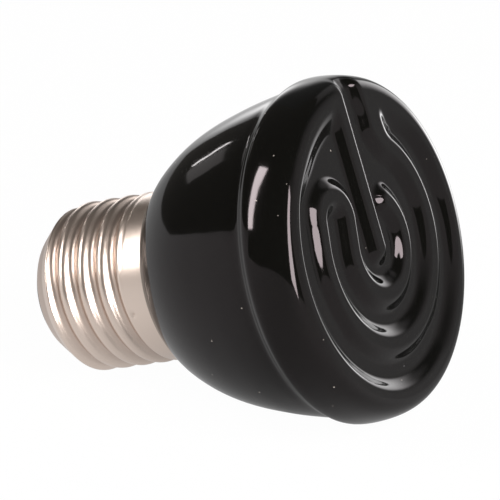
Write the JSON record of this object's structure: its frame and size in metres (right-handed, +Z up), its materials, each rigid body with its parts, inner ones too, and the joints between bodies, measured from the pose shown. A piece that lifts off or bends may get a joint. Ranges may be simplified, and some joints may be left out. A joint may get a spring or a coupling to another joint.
{
  "type": "ceramic heat emitter",
  "caption": "Screw-in infrared heat emitter: glossy black ceramic bowl with a flanged face, a labyrinth relief on the face and a nickel-plated E27 screw cap, lying on its side.",
  "frame": {"origin": "on the floor, under the middle of the part's box as it lies at rest on its bowl and a crest of its screw thread", "axes": "+X towards the face and along the longest side, +Z up; the emitter's own axis lies in the XZ plane and rises 17.08 degrees towards the face"},
  "size_m": [0.0656, 0.053, 0.0519],
  "materials": {
    "black_glaze": "glossy black fired glaze, a few pinholes and pale specks",
    "nickel_plate": "nickel-plated pressed brass, satin, warm grey",
    "black_glass": "opaque black cap glass, glossy",
    "contact_metal": "nickel-plated brass stamping",
    "solder": "dull solder",
    "nickel_wire": "drawn nickel wire"
  },
  "bodies": {
    "root": {"ceramic_body": "black_glaze", "screw_shell": "nickel_plate", "cap_insulator": "black_glass", "centre_contact": "contact_metal", "contact_solder": "solder", "centre_lead": "nickel_wire", "side_lead": "nickel_wire", "side_solder": "solder"}
  },
  "joints": []
}
